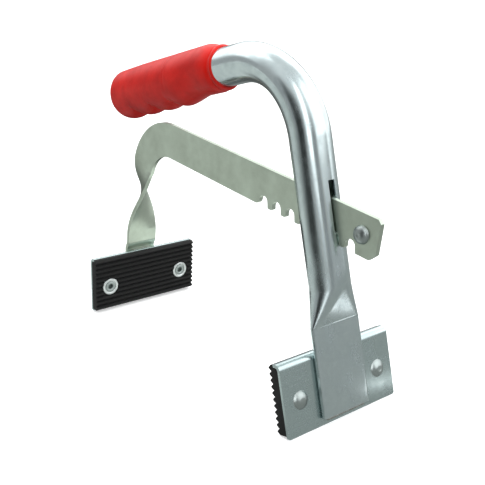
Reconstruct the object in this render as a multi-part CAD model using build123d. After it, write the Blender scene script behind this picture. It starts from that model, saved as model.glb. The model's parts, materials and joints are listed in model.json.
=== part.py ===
from build123d import *
from math import atan2, cos, degrees, pi, radians, sin, sqrt, tan
import os

# Slab lifting clamp, in millimetres.  +X points from the rear jaw to the front jaw, +Z is up, and
# the clamp stands on the lower edges of its two jaw plates, opened as far as it goes.
#
# Two frames are used while building.
#   bar frame:  the tip of the notched bar is at X 0, its lower edge is at Z 0, the rear is -X.
#   stem frame: Z runs up the axis of the tube's stem, from the level of the front jaw's lower edge.
# The stem frame hangs on the bar frame at the fulcrum, and both are then levelled on the floor.

# ---- flat bar with the notches, bent on edge and twisted into the rear arm
BAR_HEIGHT = 25.0
BAR_THICK = 3.0
BAR_STRAIGHT = 198.9        # tip to the start of the edge bend
BAR_BEND_R = 24.0           # inside of the edge bend
BAR_BEND_ANGLE = 91.6
TIP_CHAMFER_LOW = 4.5
TIP_CHAMFER_TOP = 2.2
TWIST_LEAD = 10.0           # the twist starts this far before the bend ends
TWIST_LENGTH = 55.0
TWIST_EASE = 0.6            # 0 is an even twist, 1 starts and stops gently
TWIST_SECTIONS = 13
ARM_LENGTH = 53.8           # end of the bend to the joggle above the rear jaw
JOGGLE_OFFSET = 2.5
JOGGLE_HEIGHT = 5.0
JOGGLE_R = 3.5              # on the centre line of the joggle's bends

# ---- notches in the bar's lower edge
NOTCH_COUNT = 7
NOTCH_PITCH = 12.5
NOTCH_FIRST = 14.6          # tip to the front wall of the nearest notch
NOTCH_WIDTH = 7.5
NOTCH_DEPTH = 7.0
NOTCH_LEAN = 12.0           # tops lean to the rear
TOOTH_ROUND = 1.6           # rear mouth corner of each notch
TOOTH_ROUND_LAST = 3.6      # the same corner of the notch nearest the bend
ENGAGED_NOTCH = 2           # counted from the tip
FULCRUM_SHIFT = 0.8         # the tube's wall sits this far forward of the notch's middle

# ---- bent tube: blade, stem, bend and handle
TUBE_D = 25.0
TUBE_WALL = 2.0
TUBE_BEND_R = 52.0          # on the tube's axis
TUBE_BEND_ANGLE = 88.5
HANDLE_LENGTH = 142.0       # end of the bend to the end of the tube
BLADE_WIDTH = 38.5
BLADE_THICK = 4.0
BLADE_START = 4.5           # above the jaw's lower edge
BLADE_TOP = 58.0
ROUND_FROM = 80.0           # the tube is round from here up
CAVITY_SLIT = 0.4           # half gap left between the pressed walls
FULCRUM_HEIGHT = 110.6      # centre of the rounded edge that the bar hangs on
SLOT_WIDTH = 5.0

# ---- how far the tube tilts on the bar, from square to it
TILT_OPEN = 21.7
TILT_CLOSED = 0.7
RUNNING_GAP = 0.1           # between the fulcrum's edge and the roof of its notch
STOP_GAP = 0.5              # left at both ends of the tilt

# ---- jaws, the same at both ends
JAW_WIDTH = 90.0
JAW_HEIGHT = 44.0
PLATE_THICK = 2.0
PLATE_CORNER_R = 1.5
LIP_R = 2.0                 # inside of the bent-over top edge
LIP_DEPTH = 5.5             # outer face of the plate to the end of the lip
PAD_BASE = 5.3
RIB_HEIGHT = 2.0
RIB_COUNT = 11
RIB_TIP = 0.7               # flat on the crest of each rib
PAD_BOTTOM = 2.0            # above the plate's lower edge
PAD_TOP_DROP = 0.5          # below the plate's top
PAD_GAP = 0.2               # between the rubber and the lip
REAR_TOE_IN = 4.8           # rear jaw, from square to the bar
REAR_JAW_BELOW = 1.0        # top of the rear jaw plate below the joggle

# ---- rivets and washers
RIVET_SPACING = 65.0
RIVET_HEIGHT = 20.0         # above the plate's lower edge
RIVET_SHANK_D = 6.0
RIVET_HEAD_D = 11.0
RIVET_HEAD_H = 2.6
RIVET_TAIL_D = 8.4
RIVET_TAIL_H = 0.8
RIVET_BORE_D = 3.8
RIVET_BORE_DEPTH = 4.0
HOLE_GAP = 0.1              # radial, round a shank
WASHER_D = 13.5
WASHER_T = 1.5
WASHER_SEAT_T = 0.7         # thickness left under the rivet's tail
WASHER_GAP = 0.3            # radial, round a washer and round a tail
STOP_RIVET_FROM_TIP = 12.0
STOP_HEAD_D = 11.0
STOP_HEAD_H = 3.2
STOP_TAIL_D = 9.0
STOP_TAIL_H = 2.0

# ---- weld beads
WELD_LEG = 2.5
WELD_INSET = 3.0            # a bead stops this far from the corners of what it joins
WELD_FULLNESS = 0.6         # 0.5 would be a flat bead
GROOVE_FROM = 10.0          # the groove bead starts and ends at these angles round the lip
GROOVE_TO = 70.0
BEAD_SINK = 0.2             # the groove bead is drawn this deep into the plate, then trimmed by it

# ---- grip, measured from the end of the tube's bend along the handle
GRIP_START = 16.0
GRIP_END_WALL = 4.0
GRIP_MOUTH_R = 13.6
GRIP_TOP_R = 17.0           # axis of the handle to the top of the grip
GRIP_NECK_R = 14.6          # axis to the underside behind the mouth
GRIP_CREST_R = 20.0         # axis to the crests of the finger rests
GRIP_VALLEY_R = 18.4
FLARE_LENGTH = 14.0         # mouth to full height
NECK_LENGTH = 24.0          # mouth to the end of the straight underside
FINGER_COUNT = 4
FINGER_START = 54.0         # end of the bend to the foot of the first finger rest
FINGER_OVERRUN = 6.0        # the last rest would run on this far past the grip's end
GRIP_END_ROUND = 6.0
GRIP_TO_BAR = 6.6           # least gap between the finger rests and the bend of the bar


# ---------------------------------------------------------------- worked-out values
wall_mid_r = (TUBE_D - TUBE_WALL) / 2
edge_r = TUBE_WALL / 2
notch_r = NOTCH_WIDTH / 2
notch_centre_z = NOTCH_DEPTH - notch_r
fulcrum_rise = sqrt((notch_r - edge_r - RUNNING_GAP) ** 2 - FULCRUM_SHIFT ** 2)
bend_mid_r = BAR_BEND_R + BAR_HEIGHT / 2
grip_end = HANDLE_LENGTH + GRIP_END_WALL


def notch_centre_x(number):
    """X of the centre of a notch's round roof, counted from the tip."""
    front_wall = NOTCH_FIRST + (number - 1) * NOTCH_PITCH
    lean = radians(NOTCH_LEAN)
    return -(front_wall + notch_r / cos(lean) + notch_centre_z * tan(lean))


fulcrum_bar = Vector(notch_centre_x(ENGAGED_NOTCH) + FULCRUM_SHIFT, 0, notch_centre_z + fulcrum_rise)
fulcrum_stem = Vector(wall_mid_r, 0, FULCRUM_HEIGHT)
bar_top_rise = BAR_HEIGHT - fulcrum_bar.Z
slot_top = (
    FULCRUM_HEIGHT
    + bar_top_rise / cos(radians(TILT_OPEN))
    + (wall_mid_r + TUBE_D / 2) * tan(radians(TILT_OPEN))
    + STOP_GAP
)
inner_slot_bottom = FULCRUM_HEIGHT - fulcrum_bar.Z / cos(radians(TILT_CLOSED)) - STOP_GAP


def worked_out_stem_height():
    """Level of the start of the tube's bend that leaves the gap between the grip and the bar."""
    to_stem = Pos(fulcrum_stem) * Rot(Y=TILT_OPEN) * Pos(-fulcrum_bar.X, 0, -fulcrum_bar.Z)
    centre = (to_stem * Pos(-BAR_STRAIGHT, 0, -BAR_BEND_R)).position
    angle = radians(TUBE_BEND_ANGLE)
    centre_out = centre.X * cos(angle) + centre.Z * sin(angle)
    handle_out = centre_out + BAR_BEND_R + BAR_HEIGHT + GRIP_TO_BAR + GRIP_CREST_R
    return (handle_out - TUBE_BEND_R * (1 - cos(angle))) / sin(angle)


stem_height = worked_out_stem_height()


# ---------------------------------------------------------------- small helpers
def side_face(points):
    """Closed polygon in the XZ plane, from (x, z) pairs."""
    return Plane.XZ * make_face(Polyline(*points, close=True))


def across(face, width):
    """Solid of a face in the XZ plane, spread evenly over a width in Y."""
    return extrude(face, amount=width / 2, both=True)


def dome(base_x, radius, height):
    """Low spherical cap, based at base_x on the X axis, bulging towards +X."""
    sphere_r = (radius ** 2 + height ** 2) / (2 * height)
    centre_x = base_x + height - sphere_r
    half_angle = atan2(radius, base_x - centre_x) / 2
    middle = (centre_x + sphere_r * cos(half_angle), sphere_r * sin(half_angle))
    rim, top = (base_x, radius), (base_x + height, 0)
    outline = [ThreePointArc(rim, middle, top), Polyline(top, (base_x, 0), rim)]
    return revolve(Plane.XZ * make_face(outline), Axis.X)


def rod(radius, start_x, end_x):
    """Cylinder along X between two X values."""
    middle = (start_x + end_x) / 2
    return Pos(middle, 0, 0) * Rot(Y=90) * Cylinder(radius, abs(end_x - start_x))


# ---------------------------------------------------------------- notched bar
def notch_tool(number):
    """Round-roofed block that cuts one notch."""
    reach = 2 * NOTCH_DEPTH
    roof = Rot(X=90) * Cylinder(notch_r, 2 * BAR_THICK)
    sides = Pos(0, 0, -reach / 2) * Box(NOTCH_WIDTH, 2 * BAR_THICK, reach)
    return Pos(notch_centre_x(number), 0, notch_centre_z) * Rot(Y=-NOTCH_LEAN) * (roof + sides)


def straight_bar():
    """Straight part of the bar with its chamfered tip, notches and rounded teeth."""
    outline = [
        (0, TIP_CHAMFER_LOW),
        (-TIP_CHAMFER_LOW, 0),
        (-BAR_STRAIGHT, 0),
        (-BAR_STRAIGHT, BAR_HEIGHT),
        (-TIP_CHAMFER_TOP, BAR_HEIGHT),
        (0, BAR_HEIGHT - TIP_CHAMFER_TOP),
    ]
    bar = across(side_face(outline), BAR_THICK)
    half_mouth = notch_r / cos(radians(NOTCH_LEAN))
    for number in range(1, NOTCH_COUNT + 1):
        bar = bar - notch_tool(number)
        mouth_x = notch_centre_x(number) + notch_centre_z * tan(radians(NOTCH_LEAN))
        corner = (mouth_x - half_mouth, 0, 0)
        rear_edge = bar.edges().filter_by(Axis.Y).sort_by_distance(corner)[0]
        radius = TOOTH_ROUND_LAST if number == NOTCH_COUNT else TOOTH_ROUND
        bar = fillet([rear_edge], radius)
    return bar


def edge_bend():
    """Part of the bar that is bent on edge, up to where the twist starts."""
    angle = BAR_BEND_ANGLE - degrees(TWIST_LEAD / bend_mid_r)
    section = Plane.YZ * Pos(0, BAR_HEIGHT / 2) * Rectangle(BAR_THICK, BAR_HEIGHT)
    axis = Axis((-BAR_STRAIGHT, 0, -BAR_BEND_R), (0, -1, 0))
    return revolve(Pos(-BAR_STRAIGHT, 0, 0) * section, axis, angle)


def arm_station(distance):
    """Point, direction and outward direction on the arm's centre line, from the twist's start."""
    end_angle = radians(BAR_BEND_ANGLE)
    angle = min(end_angle, end_angle - (TWIST_LEAD - distance) / bend_mid_r)
    outward = Vector(-sin(angle), 0, cos(angle))
    along = Vector(-cos(angle), 0, -sin(angle))
    point = Vector(-BAR_STRAIGHT, 0, -BAR_BEND_R) + outward * bend_mid_r
    return point + along * max(0.0, distance - TWIST_LEAD), along, outward


def twist_section(fraction):
    """Cross-section of the bar part of the way through its quarter turn."""
    eased = TWIST_EASE * (3 * fraction ** 2 - 2 * fraction ** 3) + (1 - TWIST_EASE) * fraction
    turn = eased * pi / 2
    point, along, outward = arm_station(fraction * TWIST_LENGTH)
    height_dir = outward * cos(turn) + Vector(0, 1, 0) * sin(turn)
    return Plane(origin=point, x_dir=height_dir, z_dir=along) * Rectangle(BAR_HEIGHT, BAR_THICK)


def rear_foot_points():
    """Centre line of the arm's flat end: down, back through the joggle, down behind the jaw."""
    start, along, outward = arm_station(TWIST_LENGTH)
    top = arm_station(TWIST_LEAD + ARM_LENGTH)[0]
    toe = radians(REAR_TOE_IN)
    down = Vector(sin(toe), 0, -cos(toe))
    back = Vector(-cos(toe), 0, -sin(toe))
    foot_top = top + down * JOGGLE_HEIGHT + back * JOGGLE_OFFSET
    foot_end = foot_top + down * (REAR_JAW_BELOW + JAW_HEIGHT - BLADE_START)
    return start, top, foot_top, foot_end, down, back, along


def notched_bar():
    """Bar, edge bend, quarter twist and the foot behind the rear jaw, as one solid."""
    body = straight_bar()
    hole = Rot(Z=90) * rod(RIVET_SHANK_D / 2 + HOLE_GAP, -BAR_THICK, BAR_THICK)
    body = body - Pos(-STOP_RIVET_FROM_TIP, 0, BAR_HEIGHT / 2) * hole
    steps = TWIST_SECTIONS - 1
    twist = loft([twist_section(number / steps) for number in range(TWIST_SECTIONS)])
    start, top, foot_top, foot_end, _, _, along = rear_foot_points()
    path = FilletPolyline(start, top, foot_top, foot_end, radius=JOGGLE_R)
    section = Plane(origin=start, x_dir=(0, 1, 0), z_dir=along) * Rectangle(BAR_HEIGHT, BAR_THICK)
    foot = sweep(section, path)
    return body + edge_bend() + twist + foot


def stop_rivet():
    """Rivet near the bar's tip that keeps the tube from sliding off, domed on the near side."""
    half = BAR_THICK / 2
    rivet = rod(RIVET_SHANK_D / 2, -half, half)
    rivet = rivet + dome(half, STOP_HEAD_D / 2, STOP_HEAD_H)
    rivet = rivet + Rot(Z=180) * dome(half, STOP_TAIL_D / 2, STOP_TAIL_H)
    return Pos(-STOP_RIVET_FROM_TIP, 0, BAR_HEIGHT / 2) * Rot(Z=-90) * rivet


# ---------------------------------------------------------------- bent tube
def flat_to_round(radius_low, half_low, z_low, radius_high, z_high):
    """Taper from a flattened tube, of half thickness radius_low, to a round one."""
    ends = ((radius_low, half_low, z_low), (radius_high, 0, z_high))
    sides = []
    for side in (1, -1):
        faces = []
        for radius, offset, level in ends:
            disc = Circle(radius) & Pos(0, side * radius) * Rectangle(2 * radius, 2 * radius)
            faces.append(Pos(0, side * offset, level) * disc)
        sides.append(loft(faces, ruled=True))
    a, b, c, d = [(x * radius_low, y * half_low, z_low) for x, y in ((1, 1), (-1, 1), (-1, -1), (1, -1))]
    front, back = (radius_high, 0, z_high), (-radius_high, 0, z_high)
    rims = ((a, b, c, d), (a, d, front), (b, c, back), (a, b, back, front), (d, c, back, front))
    wedge = Solid(Shell([Face(Wire.make_polygon(rim, close=True)) for rim in rims]))
    return sides[0] + wedge + sides[1]


def handle_tube():
    """Tube flattened to a blade below, slotted for the bar, bent over above into the handle."""
    outer_r = TUBE_D / 2
    inner_r = outer_r - TUBE_WALL
    blade_r = BLADE_THICK / 2
    blade_half = BLADE_WIDTH / 2 - blade_r
    ring = Circle(outer_r) - Circle(inner_r)
    flat = SlotCenterToCenter(2 * blade_half, BLADE_THICK)
    blade = Pos(0, 0, BLADE_START) * Rot(Z=90) * extrude(flat, amount=BLADE_TOP - BLADE_START)
    taper = flat_to_round(blade_r, blade_half, BLADE_TOP, outer_r, ROUND_FROM)
    cavity_half, cavity_start = blade_half - TUBE_WALL, BLADE_TOP + TUBE_WALL
    taper = taper - flat_to_round(CAVITY_SLIT, cavity_half, cavity_start, inner_r, ROUND_FROM)
    stem = Pos(0, 0, ROUND_FROM) * extrude(ring, amount=stem_height - ROUND_FROM)
    bend_axis = Axis((-TUBE_BEND_R, 0, stem_height), (0, -1, 0))
    bend = revolve(Pos(0, 0, stem_height) * ring, bend_axis, TUBE_BEND_ANGLE)
    handle = handle_plane() * extrude(ring, amount=HANDLE_LENGTH)
    tube = blade + taper + stem + bend + handle
    outer_cut = Pos(TUBE_D / 2, 0, (FULCRUM_HEIGHT + slot_top) / 2) * Box(
        TUBE_D, SLOT_WIDTH, slot_top - FULCRUM_HEIGHT
    )
    edge = Pos(fulcrum_stem) * Rot(X=90) * Cylinder(edge_r, 2 * SLOT_WIDTH)
    inner_cut = Pos(-TUBE_D / 2, 0, (inner_slot_bottom + slot_top) / 2) * Box(
        TUBE_D, SLOT_WIDTH, slot_top - inner_slot_bottom
    )
    return tube - (outer_cut - edge) - inner_cut


def handle_plane():
    """Plane at the end of the tube's bend: Z along the handle, X to its top side."""
    angle = radians(TUBE_BEND_ANGLE)
    origin = (-TUBE_BEND_R + TUBE_BEND_R * cos(angle), 0, stem_height + TUBE_BEND_R * sin(angle))
    return Plane(origin=origin, x_dir=(cos(angle), 0, sin(angle)), z_dir=(-sin(angle), 0, cos(angle)))


def grip_section(distance, top, under):
    """Round section of the grip, from its top radius and its underside radius."""
    return Pos((top - under) / 2, 0, distance) * Circle((top + under) / 2)


def grip():
    """Sleeve pushed over the handle, closed at its end, with finger rests along its underside."""
    step = (grip_end + FINGER_OVERRUN - FINGER_START) / (2 * FINGER_COUNT)
    foot_r = (GRIP_NECK_R + GRIP_VALLEY_R) / 2
    sections = [
        grip_section(GRIP_START, GRIP_MOUTH_R, GRIP_MOUTH_R),
        grip_section(GRIP_START + FLARE_LENGTH / 2, (GRIP_MOUTH_R + 2 * GRIP_TOP_R) / 3, GRIP_NECK_R),
        grip_section(GRIP_START + FLARE_LENGTH, GRIP_TOP_R, GRIP_NECK_R),
        grip_section(GRIP_START + NECK_LENGTH, GRIP_TOP_R, GRIP_NECK_R),
        grip_section(FINGER_START, GRIP_TOP_R, foot_r),
    ]
    for number in range(1, 2 * FINGER_COUNT):
        under = GRIP_CREST_R if number % 2 else GRIP_VALLEY_R
        sections.append(grip_section(FINGER_START + number * step, GRIP_TOP_R, under))
    sections.append(grip_section(grip_end, GRIP_TOP_R, (GRIP_CREST_R + GRIP_VALLEY_R) / 2))
    body = loft(sections)
    body = fillet(body.edges().group_by(Axis.Z)[-1], GRIP_END_ROUND)
    bore_length = HANDLE_LENGTH - GRIP_START
    bore = Pos(0, 0, GRIP_START + bore_length / 2) * Cylinder(TUBE_D / 2, bore_length)
    return handle_plane() * (body - bore)


# ---------------------------------------------------------------- jaws
# Built with the plate's outer face at X 0, the slab on the -X side and the lower edge at Z 0.
def at_rivet(side, solid):
    """A piece moved from the origin to the rivet position on one side."""
    return Pos(0, side * RIVET_SPACING / 2, RIVET_HEIGHT) * solid


def jaw_plate():
    """Plate with its top edge bent over towards the slab."""
    profile = make_face(
        Polyline(
            (0, 0),
            (0, JAW_HEIGHT),
            (-LIP_DEPTH, JAW_HEIGHT),
            (-LIP_DEPTH, JAW_HEIGHT - PLATE_THICK),
            (-PLATE_THICK, JAW_HEIGHT - PLATE_THICK),
            (-PLATE_THICK, 0),
            close=True,
        )
    )
    outer = profile.vertices().sort_by_distance((0, JAW_HEIGHT, 0))[0]
    profile = fillet([outer], LIP_R + PLATE_THICK)
    inner = profile.vertices().sort_by_distance((-PLATE_THICK, JAW_HEIGHT - PLATE_THICK, 0))[0]
    profile = fillet([inner], LIP_R)
    plate = across(Plane.XZ * profile, JAW_WIDTH)
    low_corners = plate.edges().filter_by(Axis.X).group_by(Axis.Z)[0]
    plate = fillet(low_corners, PLATE_CORNER_R)
    for side in (-1, 1):
        plate = plate - at_rivet(side, rod(RIVET_SHANK_D / 2 + HOLE_GAP, -2 * PLATE_THICK, PLATE_THICK))
    return plate


def jaw_pad():
    """Rubber pad with level saw-tooth ribs, stepped to fit under the lip, sunk for the washers."""
    back, root = -PLATE_THICK, -PLATE_THICK - PAD_BASE
    tip = root - RIB_HEIGHT
    top = JAW_HEIGHT - PAD_TOP_DROP
    pitch = (top - PAD_BOTTOM) / RIB_COUNT
    under_lip = JAW_HEIGHT - PLATE_THICK - PAD_GAP
    points = [
        (back, PAD_BOTTOM),
        (back, under_lip - LIP_R),
        (back - LIP_R, under_lip),
        (-LIP_DEPTH - PAD_GAP, under_lip),
        (-LIP_DEPTH - PAD_GAP, top),
        (root, top),
    ]
    for rib in range(RIB_COUNT):
        middle = top - (rib + 0.5) * pitch
        points += [(tip, middle + RIB_TIP / 2), (tip, middle - RIB_TIP / 2), (root, middle - pitch / 2)]
    pad = across(side_face(points), JAW_WIDTH)
    hole = rod(RIVET_SHANK_D / 2 + HOLE_GAP, back - PAD_BASE, back)
    sink = rod(WASHER_D / 2 + WASHER_GAP, root - 2 * RIB_HEIGHT, root)
    for side in (-1, 1):
        pad = pad - at_rivet(side, hole + sink)
    return pad


def jaw_rivet():
    """Rivet with a low domed head outside and a hollow tail turned over on the washer."""
    seat = -PLATE_THICK - PAD_BASE - WASHER_SEAT_T
    end = seat - RIVET_TAIL_H
    body = rod(RIVET_SHANK_D / 2, seat, 0) + rod(RIVET_TAIL_D / 2, end, seat)
    body = body + dome(0, RIVET_HEAD_D / 2, RIVET_HEAD_H)
    return body - rod(RIVET_BORE_D / 2, end - RIVET_TAIL_H, end + RIVET_BORE_DEPTH)


def jaw_washer():
    """Cupped washer: a raised rim round a thinner seat for the rivet's tail."""
    base = -PLATE_THICK - PAD_BASE
    washer = rod(WASHER_D / 2, base - WASHER_T, base)
    washer = washer - rod(RIVET_TAIL_D / 2 + WASHER_GAP, base - 2 * WASHER_T, base - WASHER_SEAT_T)
    return washer - rod(RIVET_SHANK_D / 2 + HOLE_GAP, base - WASHER_T, base + WASHER_T)


def jaw_set(name, left_side):
    """All the riveted pieces of one jaw, by node name; left_side is the Y sign of its left."""
    pieces = {name + "_jaw_plate": jaw_plate(), name + "_jaw_pad": jaw_pad()}
    for kind, solid in (("rivet", jaw_rivet()), ("washer", jaw_washer())):
        for side_name, side in (("left", left_side), ("right", -left_side)):
            pieces[name + "_" + side_name + "_" + kind] = at_rivet(side, solid)
    return pieces


def corner_bead(leg_x, leg_z, length):
    """Weld bead in the corner at X 0, Z 0, its face slightly raised, spread evenly along Y."""
    raised = (WELD_FULLNESS * leg_x, WELD_FULLNESS * leg_z)
    arc = ThreePointArc((leg_x, 0), raised, (0, leg_z))
    return across(Plane.XZ * make_face([arc, Polyline(arc @ 1, (0, 0), arc @ 0)]), length)


def groove_bead(width):
    """Weld bead in the groove between the plate's rounded top and what stands behind it."""
    lip_r = LIP_R + PLATE_THICK
    centre_x, centre_z = -lip_r, JAW_HEIGHT - lip_r
    reach = lip_r - BEAD_SINK
    low, high = radians(GROOVE_FROM), radians(GROOVE_TO)
    low_x, low_z = centre_x + reach * cos(low), centre_z + reach * sin(low)
    high_x, high_z = centre_x + reach * cos(high), centre_z + reach * sin(high)
    outline = [(0, low_z), (low_x, low_z), (high_x, high_z), (0, JAW_HEIGHT)]
    return across(side_face(outline), width) - jaw_plate()


def front_welds():
    """Beads under the blade's end and in the groove above the front plate."""
    lower = Pos(0, 0, BLADE_START) * corner_bead(WELD_LEG, -WELD_LEG, BLADE_WIDTH - 2 * WELD_INSET)
    return {"front_lower_weld": lower, "front_upper_weld": groove_bead(BLADE_WIDTH - 2 * WELD_INSET)}


def rear_welds(left_side):
    """Beads down both sides of the arm's foot and in the groove above the rear plate."""
    low, high = BLADE_START + WELD_INSET, JAW_HEIGHT - LIP_R - PLATE_THICK - WELD_INSET
    welds = {"rear_upper_weld": groove_bead(BAR_HEIGHT - 2 * WELD_INSET)}
    for side_name, side in (("left", left_side), ("right", -left_side)):
        upright = Rot(X=90) * corner_bead(WELD_LEG, -side * WELD_LEG, high - low)
        welds["rear_" + side_name + "_weld"] = Pos(0, side * BAR_HEIGHT / 2, (low + high) / 2) * upright
    return welds


# ---------------------------------------------------------------- assembly
def lowest_corner(place):
    """Inner lower corner of a jaw's plate, once the jaw is put in place."""
    return (place * Pos(-PLATE_THICK, 0, 0)).position


def build():
    """Every piece by node name, standing on the floor, and the fulcrum's position."""
    on_bar = Pos(fulcrum_bar) * Rot(Y=-TILT_OPEN) * Pos(-fulcrum_stem.X, 0, -fulcrum_stem.Z)
    front_jaw = on_bar * Pos(-BLADE_THICK / 2, 0, 0)
    _, _, foot_top, _, down, back, _ = rear_foot_points()
    jaw_origin = foot_top - back * (BAR_THICK / 2) + down * (REAR_JAW_BELOW + JAW_HEIGHT)
    rear_jaw = Pos(jaw_origin) * Rot(Y=-REAR_TOE_IN) * Rot(Z=180)

    span = lowest_corner(front_jaw) - lowest_corner(rear_jaw)
    level = Rot(Y=degrees(atan2(span.Z, span.X)))
    front_left, rear_left = -1, 1

    pieces = {"notched_bar": level * notched_bar(), "stop_rivet": level * stop_rivet()}
    pieces["handle_tube"] = level * on_bar * handle_tube()
    pieces["grip"] = level * on_bar * grip()
    for name, solid in (jaw_set("front", front_left) | front_welds()).items():
        pieces[name] = level * front_jaw * solid
    for name, solid in (jaw_set("rear", rear_left) | rear_welds(rear_left)).items():
        pieces[name] = level * rear_jaw * solid

    box = Compound(list(pieces.values())).bounding_box()
    to_origin = Pos(-box.center().X, 0, -box.min.Z)
    placed = {name: to_origin * solid for name, solid in pieces.items()}
    return placed, (to_origin * level * Pos(fulcrum_bar)).position


pieces, fulcrum = build()
os.makedirs("parts", exist_ok=True)
for name, solid in pieces.items():
    export_step(solid, "parts/" + name + ".step")

box = Compound(list(pieces.values())).bounding_box()
print("nodes", len(pieces), "size", box.size)
print("lowest", box.min.Z, "fulcrum", fulcrum)
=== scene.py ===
"""Looks of the slab lifting clamp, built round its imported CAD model."""

import json
import logging
from dataclasses import dataclass
from enum import Enum
from math import ceil, cos, exp, pi, radians, sin, sqrt
from typing import Callable

import bmesh
import bpy
from bmesh.types import BMesh, BMVert
from bpy.types import Material, NodeSocket
from mathutils import Matrix, Vector, noise


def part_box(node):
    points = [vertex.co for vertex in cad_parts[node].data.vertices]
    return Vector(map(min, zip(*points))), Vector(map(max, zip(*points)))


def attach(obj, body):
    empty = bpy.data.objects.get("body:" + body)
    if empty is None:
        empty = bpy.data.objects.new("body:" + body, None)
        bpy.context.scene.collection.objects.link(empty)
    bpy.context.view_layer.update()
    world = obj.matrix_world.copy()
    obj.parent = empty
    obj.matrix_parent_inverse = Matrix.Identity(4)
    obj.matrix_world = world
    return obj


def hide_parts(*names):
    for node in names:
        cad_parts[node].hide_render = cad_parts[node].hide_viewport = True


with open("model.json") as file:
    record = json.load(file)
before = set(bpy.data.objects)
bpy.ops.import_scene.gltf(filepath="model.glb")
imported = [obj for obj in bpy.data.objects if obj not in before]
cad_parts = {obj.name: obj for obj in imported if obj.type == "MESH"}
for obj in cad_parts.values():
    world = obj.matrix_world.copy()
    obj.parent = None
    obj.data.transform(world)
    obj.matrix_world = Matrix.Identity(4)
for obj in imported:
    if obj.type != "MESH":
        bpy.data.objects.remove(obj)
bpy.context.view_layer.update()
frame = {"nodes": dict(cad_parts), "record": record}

MM = 0.001
LOG = logging.getLogger("clamp")

Pair = tuple[float, float]
Triple = tuple[float, float, float]
Colour = tuple[float, float, float, float]
Ring = Callable[[float], Vector]  # from the angle round a ring, in radians, to its point

UNROLLED_TURN = 0.08  # length in the UV map, in metres, of one turn round a ring
BEND_STEPS = 36  # rings along the tube's bend
TAPER_SHARES = (0.0, 0.04, 0.1, 0.2, 0.32, 0.45, 0.6, 0.75, 0.88, 1.0)
ROUND_STEPS = 9  # rings of the grip's rounded end
BROKEN_ABOVE = 30.0  # degrees between two faces, above which their edge is broken
FLAT_SHARP = 60.0  # the same, above which an edge of a flat piece stays sharp
LATHE_STEPS = 48  # steps round a rivet or a washer
BEAD_SIDES = 20  # points round a weld bead
BEAD_STEP = 0.22  # millimetres between two rings of a bead
RIB_CREST = 9.3  # millimetres from a plate's outer face to the crest of a rib
RIB_LEVEL = 22.75  # millimetres from a plate's lower edge to the middle rib
STUDIO_REACH = 6.0  # metres from the middle of the floor to its edge
SHEET_SIDES = 64  # points round the ground sheet


class Body(Enum):
    """The two bodies that move against each other."""

    HANDLE = "handle_and_front_jaw"
    BAR = "bar_and_rear_jaw"


class Slot(Enum):
    """Material slots of the record."""

    TUBE = "tube_steel"
    BAR = "bar_steel"
    PLATE = "plate_steel"
    RIVET = "rivet_steel"
    WASHER = "washer_steel"
    WELD = "weld_metal"
    GRIP = "grip_pvc"
    PAD = "pad_rubber"


class Pattern(Enum):
    """Coordinates that a finish's pattern follows."""

    OBJECT = "Object"
    SURFACE = "UV"


# ---- node helpers
class Nodes:
    """Short way to write a node tree."""

    def __init__(self, tree: bpy.types.NodeTree) -> None:
        """Starts on a tree that is already there."""
        self.tree = tree

    def link(self, source: NodeSocket, target: NodeSocket) -> None:
        """Joins two sockets."""
        self.tree.links.new(source, target)

    def feed(self, value: object, target: NodeSocket) -> None:
        """Links a socket or sets a plain value.

        Args:
            value: a node socket, or a number or colour.
            target: the input that receives it.
        """
        if isinstance(value, NodeSocket):
            self.link(value, target)
        else:
            target.default_value = value

    def span(self, value: object, low: float, high: float, to_low: float, to_high: float,
             kind: str = "LINEAR") -> object:
        """Maps a range of values to another one, clamped.

        Args:
            value: value socket.
            low: start of the incoming range.
            high: end of the incoming range.
            to_low: result at low.
            to_high: result at high.
            kind: the interpolation, as Blender names it.

        Returns:
            The value socket.
        """
        node = self.tree.nodes.new("ShaderNodeMapRange")
        node.interpolation_type = kind
        self.link(value, node.inputs["Value"])
        for number, target in zip((low, high, to_low, to_high), list(node.inputs)[1:5]):
            target.default_value = number
        return node.outputs[0]

    def math(self, kind: str, first: object, second: object) -> object:
        """One Math node.

        Args:
            kind: the operation, as Blender names it.
            first: socket or number.
            second: socket or number.

        Returns:
            The value socket.
        """
        node = self.tree.nodes.new("ShaderNodeMath")
        node.operation = kind
        self.feed(first, node.inputs[0])
        self.feed(second, node.inputs[1])
        return node.outputs[0]


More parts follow.
